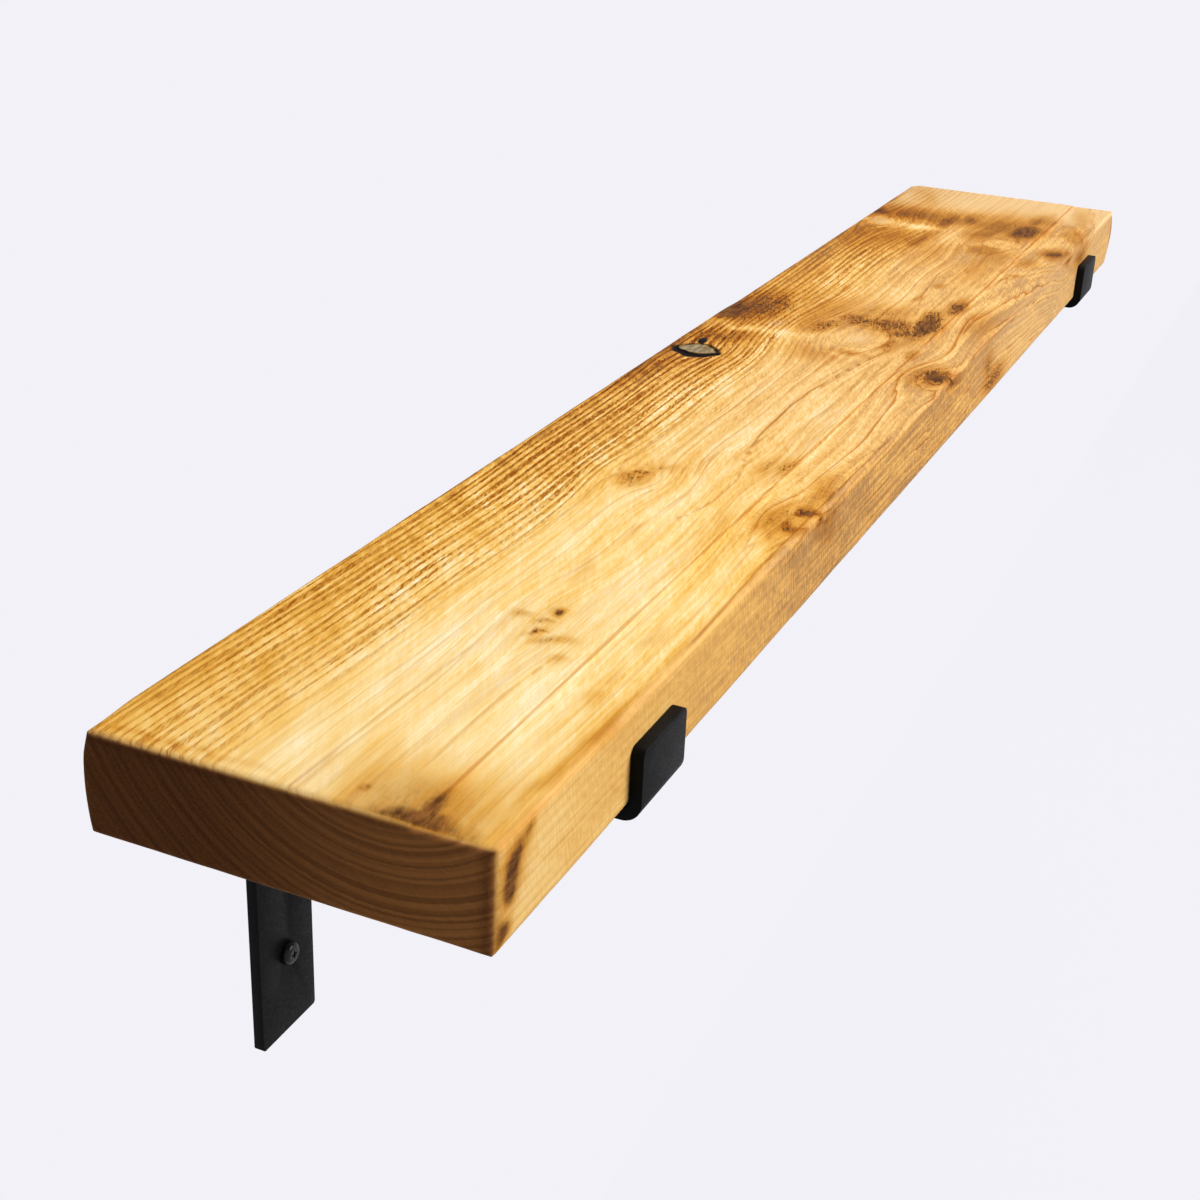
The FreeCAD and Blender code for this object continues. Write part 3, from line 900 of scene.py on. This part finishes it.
def end_light(across, down, thick):
    """How light the end grain is: brown, lighter to the front, with a dark corner and lighter rims."""
    light = 0.09 + 0.5 * step(across, 40, 150) - 0.36 * bell(across, 157, 3.4)
    return light + 0.12 * bell(across, 0, 2.5) + 0.08 * bell(down, thick, 1.5)


def dead_knot(along, across):
    """How far each point lies in the dead knot's pale core, and in the black round it: dark bark, with painted
    shade in the crack between rim and core.
    """
    core = fade(knot_reach(along, across, DEAD_CORE), 0.88, 1.02)
    black = fade(knot_reach(along, across, DEAD_KNOT), 0.9, 1.08) * (1 - core)
    black = np.maximum(black, fade(oval(along, across, KNOT_BEAD), 0.9, 1.2))
    return core, np.maximum(black, 0.6 * core * bell(across, 19.5, 0.6))


def grow_grain(board, place):
    """Writes the rings, saw marks, stains and knots of this board at the points of its mesh."""
    length, width, thick = (side / MM for side in BOARD_SIZE)
    along, across, down = place.T
    on_top = fade(down, 1.5, 5)
    on_front = fade(width - across, 0.5, 3) * step(down, 0.3, 2.5)
    on_end = fade(np.minimum(along, length - along), 0.6, 2.2) * step(down, 0.5, 1.8)
    arris = bell(across, width, 3) * bell(down, 0, 3)
    end_arris = bell(along, 0, 2.2) * bell(down, 0, 3)
    swung, ring = swing_grain(place)
    back_zone = fade(swung, 50, 66)

    ragged_along = along + 5 * rough(place, (15, 8, 8), 131.7)
    ragged_across = across + 3 * rough(place, (19, 8, 8), 153.3)
    ragged_down = down + 3 * rough(place, (19, 8, 8), 171.9)
    pale = spread(ragged_along, ragged_across, PALE_MARKS) * on_top
    stain = spread(ragged_along, ragged_across, STAINS) * on_top
    stain = np.maximum(stain, spread(ragged_along, ragged_down, FRONT_STAINS) * on_front)
    stain *= (1 - 0.8 * pale) * (0.35 + 0.65 * step(along, 0.6, 2.5))

    blush = 0.45 * step(along, 200, 480) * (0.25 + 0.75 * step(across, 46, 76))
    pink = np.maximum(spread(ragged_along, ragged_across, PINK_MARKS), blush) * on_top
    front_pink = (0.3 + 0.25 * step(along, 540, 700)) * on_front
    pink = np.maximum(pink, front_pink + 0.9 * step(along, 890, 960) * on_top)
    pink = np.maximum(pink, 0.5 * np.maximum(arris, end_arris))

    light = top_light(along, across, swung) * on_top + side_light(along, down, on_front) * (1 - on_top)
    light += (end_light(across, down, thick) - light) * on_end
    light += pale * 0.45 - 0.2 * arris - 0.16 * end_arris

    sawn = back_zone * (0.65 + 0.35 * step(along, 10, 150)) * (1 - 0.55 * step(along, 760, 840))
    sawn *= (1 - pale) * (1 - 0.2 * step(across, 34, 56))
    sawn *= 1 + 0.35 * step(along, 200, 320) - 0.5 * step(along, 560, 640)
    sawn = np.maximum(sawn, 0.1) * on_top + 0.08 * (1 - on_top)

    coarse = 0.08 + 0.12 * step(along, 20, 140) + 0.1 * back_zone * step(along, 100, 250)
    coarse += 0.3 * step(along, 230, 480) * step(across, 4, 60)
    coarse *= 1 - 0.5 * on_front
    vein = 0.3 + 0.4 * step(along, 200, 420) - 0.3 * step(along, 880, 960)
    vein += 0.4 * step(across, 122, 134) * step(along, 240, 320) * fade(along, 740, 820)
    sharp = 0.12 + 0.28 * step(along, 40, 120) + 0.35 * step(along, 240, 320)
    sharp -= 0.3 * step(along, 640, 740) + 0.22 * step(along, 770, 850)
    torn = 0.6 * step(across, 126, 132) * step(along, 230, 320) * (1 - 0.8 * step(along, 720, 800)) * on_top
    core, black = dead_knot(along, across)
    line, mark = drawn_lines(along, across)

    fields = {
        "grain": np.column_stack([along, swung, down]) * MM,
        "flat": np.column_stack([along, across - down, 0 * along]) * MM,
        "ring": ring,
        "light": light,
        "sawn": sawn,
        "coarse": coarse,
        "vein": vein,
        "line": line,
        "mark": mark * on_top,
        "stain": stain,
        "sharp": sharp,
        "pink": pink,
        "front": np.maximum(on_front * (0.45 + 0.55 * step(along, 140, 280)), torn),
        "end": on_end,
        "core": core * on_top,
        "black": black * on_top,
    }
    for name, values in fields.items():
        write_field(board, name, values)


def make_board(finish):
    board = cut_board_grid()
    place = shape_board(board)
    grow_grain(board, place)
    corner = np.array((BOARD_LOW.x, BOARD_HIGH.y, BOARD_HIGH.z))
    write_points(board, corner + place * np.array((MM, -MM, -MM)))
    make_active(board)
    bpy.ops.object.shade_smooth()
    hang(board, "board", finish)


def bend_bar(side):
    """One bracket: a leg drawn from the foot, spun round two bends into the arm and lip, then thickened."""
    low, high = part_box(f"{side}_bracket")
    across = (low.x + high.x) / 2
    arm_top = BOARD_LOW.z
    outer = BEND_RADIUS + BAR_THICKNESS
    lip_back = low.y + BAR_THICKNESS
    leg_end = arm_top - outer
    bpy.ops.mesh.primitive_plane_add(
        size=1, location=(across, high.y, (low.z + leg_end) / 2), rotation=(math.pi / 2, 0, 0)
    )
    bar = bpy.context.object
    bar.scale = (high.x - low.x, leg_end - low.z, 1)
    settle(bar)
    begin_edit(bar)
    pick(bar, "edges", lambda edge: middle(edge).z > leg_end - CLOSE)
    bpy.ops.mesh.spin(
        steps=BEND_STEPS, angle=-math.pi / 2, center=(across, high.y - outer, leg_end), axis=(1, 0, 0)
    )
    bpy.ops.mesh.extrude_region_move(
        TRANSFORM_OT_translate={"value": (0, lip_back + BEND_RADIUS - high.y + outer, 0)}
    )
    bpy.ops.mesh.spin(
        steps=BEND_STEPS,
        angle=math.pi / 2,
        center=(across, lip_back + BEND_RADIUS, arm_top + BEND_RADIUS),
        axis=(1, 0, 0),
    )
    bpy.ops.mesh.extrude_region_move(TRANSFORM_OT_translate={"value": (0, 0, high.z - arm_top - BEND_RADIUS)})
    bpy.ops.mesh.select_all(action="SELECT")
    bpy.ops.mesh.remove_doubles(threshold=TINY)
    pick(bar, "verts", lambda corner: corner.co.z > high.z - CLOSE)
    bpy.ops.mesh.bevel(affect="VERTICES", offset=LIP_CORNER, segments=5)
    pick(bar, "verts", lambda corner: corner.co.z < low.z + CLOSE)
    bpy.ops.mesh.bevel(affect="VERTICES", offset=FOOT_CORNER, segments=4)
    bpy.ops.mesh.select_all(action="SELECT")
    bpy.ops.mesh.normals_make_consistent(inside=False)
    end_edit()
    leg = min(bar.data.polygons, key=lambda face: face.center.z)
    towards_front = -1 if leg.normal.y > 0 else 1
    apply_modifier(bar, "SOLIDIFY", thickness=BAR_THICKNESS, offset=towards_front, use_even_offset=True)
    drill_bar(bar, side)
    apply_modifier(bar, "BEVEL", width=BAR_EDGE, segments=3, limit_method="ANGLE", angle_limit=SHARP_ANGLE)
    smooth_to(bar, SMOOTH_DEGREES)
    return bar


def screws(side, kind):
    """The nodes of a bracket's screws of one kind, each with the corners of its box."""
    for place in SCREW_PLACES[kind]:
        node = f"{side}_{place}_{kind}_screw"
        yield node, *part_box(node)


def drill(bar, radius, at, turn):
    bpy.ops.mesh.primitive_cylinder_add(
        vertices=ROUND_POINTS, radius=radius, depth=4 * BAR_THICKNESS, location=at, rotation=(turn, 0, 0)
    )
    cut_away(bar, bpy.context.object)


def drill_bar(bar, side):
    """Drills the leg for its two wall screws and countersinks the arm for its two board screws."""
    for _, low, high in screws(side, "wall"):
        drill(bar, WALL_HOLE_RADIUS, ((low.x + high.x) / 2, 0, (low.z + high.z) / 2), math.pi / 2)
    for _, low, high in screws(side, "board"):
        at = Vector(((low.x + high.x) / 2, (low.y + high.y) / 2, low.z))
        drill(bar, ARM_HOLE_RADIUS, at, 0)
        sink = COUNTERSINK_RADIUS + MM
        at.z += sink / 2 - MM
        bpy.ops.mesh.primitive_cone_add(vertices=ROUND_POINTS, radius1=sink, radius2=0, depth=sink, location=at)
        cut_away(bar, bpy.context.object)


def cut_cross(head, reach, half_width, depth, top):
    """Cuts a cross recess that narrows downwards into the top of a screw head."""
    for turn in (0, math.pi / 2):
        bpy.ops.mesh.primitive_cube_add(size=1, location=(0, 0, top))
        blade = bpy.context.object
        blade.scale = (2 * reach, 2 * half_width, 2 * depth)
        settle(blade)
        begin_edit(blade)
        pick(blade, "faces", lambda face: face.normal.z < -0.9)
        bpy.ops.transform.resize(value=CROSS_TAPER)
        end_edit()
        blade.rotation_euler.z = turn
        cut_away(head, blade)


def turn_shank(length, profile):
    """A screw's shank: a rod cut into rings, drawn in to the profile and threaded by a helix."""
    rings = int(length / (THREAD_PITCH / THREAD_RINGS))
    bpy.ops.mesh.primitive_cylinder_add(
        vertices=SHANK_POINTS, radius=MM, depth=length, location=(0, 0, -length / 2)
    )
    shank = bpy.context.object
    settle(shank)
    begin_edit(shank)
    pick(shank, "edges", runs(2))
    bpy.ops.mesh.subdivide(number_cuts=min(rings, MOST_CUTS))
    end_edit()
    points = read_points(shank)
    depth = -points[:, 2]
    angle = np.arctan2(points[:, 1], points[:, 0])
    turn = (depth / THREAD_PITCH - angle / (2 * math.pi)) % 1
    ridge = np.clip(1 - abs(turn - 0.5) / THREAD_FLANK, 0, 1)
    core, crest = profile(depth)
    radius = core + (crest - core) * ridge
    points[:, 0] = radius * np.cos(angle)
    points[:, 1] = radius * np.sin(angle)
    write_points(shank, points)
    return shank


def wall_shank(depth):
    """Core and crest radius of a wall screw: a plain neck through the leg, then the thread and its point."""
    threaded = step(depth, WALL_NECK, WALL_NECK + MM)
    point = np.clip((WALL_SHANK - depth) / WALL_POINT, BLUNT_TIP, 1)
    core = (WALL_NECK_RADIUS + (WALL_CORE_RADIUS - WALL_NECK_RADIUS) * threaded) * point
    return core, core + WALL_THREAD * threaded * point


def board_shank(depth):
    """Core and crest radius of a board screw: a cone under the head, then the thread and its point."""
    cone = np.clip(BOARD_HEAD_RADIUS - depth, BOARD_CORE_RADIUS, BOARD_HEAD_RADIUS)
    threaded = step(depth, BOARD_HEAD_RADIUS, BOARD_HEAD_RADIUS + MM)
    point = np.clip((BOARD_SHANK - depth) / BOARD_POINT, BLUNT_TIP, 1)
    return cone * point, cone * point + BOARD_THREAD * threaded * point


def join(first, second):
    make_active(first)
    second.select_set(True)
    bpy.ops.object.join()
    return first


def make_wall_screw():
    """A domed pan head with a cross recess on a threaded shank, head up, its seat at the origin."""
    bpy.ops.mesh.primitive_cylinder_add(
        vertices=ROUND_POINTS,
        radius=WALL_HEAD_RADIUS,
        depth=WALL_HEAD_HEIGHT,
        location=(0, 0, WALL_HEAD_HEIGHT / 2),
    )
    head = bpy.context.object
    settle(head)
    begin_edit(head)
    pick(head, "edges", lambda edge: min(corner.co.z for corner in edge.verts) > WALL_HEAD_HEIGHT - TINY)
    bpy.ops.mesh.bevel(offset=WALL_HEAD_DOME, segments=9, profile=0.5)
    pick(head, "edges", lambda edge: max(corner.co.z for corner in edge.verts) < TINY)
    bpy.ops.mesh.bevel(offset=WALL_HEAD_FOOT, segments=2)
    end_edit()
    cut_cross(head, *WALL_CROSS, WALL_HEAD_HEIGHT)
    apply_modifier(head, "BEVEL", width=CROSS_EDGE, segments=2, limit_method="ANGLE", angle_limit=SHARP_ANGLE)
    screw = join(head, turn_shank(WALL_SHANK, wall_shank))
    smooth_to(screw, SMOOTH_DEGREES)
    return screw


def make_board_screw():
    """A countersunk head with a cross recess on a threaded shank, head up, its face at the origin."""
    screw = turn_shank(BOARD_SHANK, board_shank)
    cut_cross(screw, *BOARD_CROSS, 0)
    smooth_to(screw, SMOOTH_DEGREES)
    return screw


def drive(pattern, node, turn, seat, finish):
    """Sets a copy of the pattern screw where its CAD node is."""
    screw = pattern.copy()
    screw.data = pattern.data.copy()
    bpy.context.collection.objects.link(screw)
    screw.rotation_euler.x = turn
    screw.location = seat
    settle(screw)
    hang(screw, node, finish)


def drive_screws(finish):
    wall_screw = make_wall_screw()
    board_screw = make_board_screw()
    for side in SIDES:
        for node, low, high in screws(side, "wall"):
            seat = ((low.x + high.x) / 2, low.y + WALL_HEAD_HEIGHT, (low.z + high.z) / 2)
            drive(wall_screw, node, math.pi / 2, seat, finish)
        for node, low, high in screws(side, "board"):
            seat = ((low.x + high.x) / 2, (low.y + high.y) / 2, low.z)
            drive(board_screw, node, math.pi, seat, finish)
    bpy.data.objects.remove(wall_screw)
    bpy.data.objects.remove(board_screw)


def seen_rays(tree):
    """1 for the camera, in reflections and through clear things, 0 for all other light."""
    rays = tree.nodes.new("ShaderNodeLightPath").outputs
    seen = rays["Is Camera Ray"]
    for kind in ("Is Glossy Ray", "Is Transmission Ray"):
        either = tree.nodes.new("ShaderNodeMath")
        either.operation = "MAXIMUM"
        tree.links.new(seen, either.inputs[0])
        tree.links.new(rays[kind], either.inputs[1])
        seen = either.outputs[0]
    return seen


def studio_white(name, glow_shade, glow_share):
    """Plain pale stage: bright to the camera and in reflections, a diffuse surface to all other light."""
    finish = Finish(name)
    nodes = finish.nodes
    nodes.remove(finish.shader)
    seen = seen_rays(finish.material.node_tree)
    glow = nodes.new("ShaderNodeEmission")
    glow.inputs["Color"].default_value = (*glow_shade, 1)
    matt = nodes.new("ShaderNodeBsdfDiffuse")
    matt.inputs["Color"].default_value = (*FLOOR_BOUNCE, 1)
    clear = nodes.new("ShaderNodeBsdfTransparent")
    lit = finish.mix_shaders(finish.times(seen, glow_share), matt.outputs[0], glow.outputs[0])
    behind = nodes.new("ShaderNodeNewGeometry").outputs["Backfacing"]
    sided = finish.mix_shaders(behind, lit, clear.outputs[0])
    finish.links.new(sided, nodes["Material Output"].inputs["Surface"])
    return finish.material


def set_stage():
    """A pale floor under the shelf and a pale wall behind it, which lets light and other views through."""
    bpy.ops.mesh.primitive_plane_add(size=STAGE_SIZE, location=(0, 0, FLOOR_HEIGHT))
    floor = bpy.context.object
    floor.name = "studio_floor"
    floor.data.materials.append(studio_white("studio_floor", FLOOR_GLOW, GLOW_SHARE))
    bpy.ops.mesh.primitive_plane_add(
        size=STAGE_SIZE, location=(0, WALL_STANDOFF, 0), rotation=(math.pi / 2, 0, 0)
    )
    wall = bpy.context.object
    settle(wall)
    wall.name = "studio_wall"
    wall.data.materials.append(studio_white("studio_wall", STUDIO_WHITE, 1.0))
    wall.visible_shadow = False
    wall.visible_diffuse = False
    wall.visible_glossy = False


def light_stage():
    """Soft even room light, with a large lamp above the front and a smaller one over the far end."""
    world = bpy.data.worlds.new("studio")
    bpy.context.scene.world = world
    world.use_nodes = True
    nodes, links = world.node_tree.nodes, world.node_tree.links
    room = nodes["Background"]
    room.inputs["Color"].default_value = (*STUDIO_WHITE, 1)
    strength = nodes.new("ShaderNodeMath")
    strength.operation = "MULTIPLY_ADD"
    links.new(seen_rays(world.node_tree), strength.inputs[0])
    strength.inputs[1].default_value = 1 - ROOM_LIGHT
    strength.inputs[2].default_value = ROOM_LIGHT
    links.new(strength.outputs[0], room.inputs["Strength"])
    for name, place, size, power in LAMPS:
        bpy.ops.object.light_add(type="AREA", location=place)
        lamp = bpy.context.object
        lamp.name = name
        lamp.data.size = size
        lamp.data.energy = power
        lamp.rotation_euler = (LAMP_AIM - Vector(place)).to_track_quat("-Z", "Y").to_euler()


def set_camera():
    bpy.ops.object.camera_add(location=CAMERA_PLACE, rotation=[math.radians(turn) for turn in CAMERA_TURN])
    camera = bpy.context.object
    camera.data.lens = CAMERA_LENS
    camera.data.sensor_width = CAMERA_SENSOR
    camera.data.clip_start = CAMERA_CLIP
    bpy.context.scene.camera = camera
    bpy.context.scene.view_settings.view_transform = "Standard"


make_board(waxed_wood())
coat = powder_coat()
for side in SIDES:
    hang(bend_bar(side), f"{side}_bracket", coat)
drive_screws(black_screw())
set_stage()
light_stage()
set_camera()
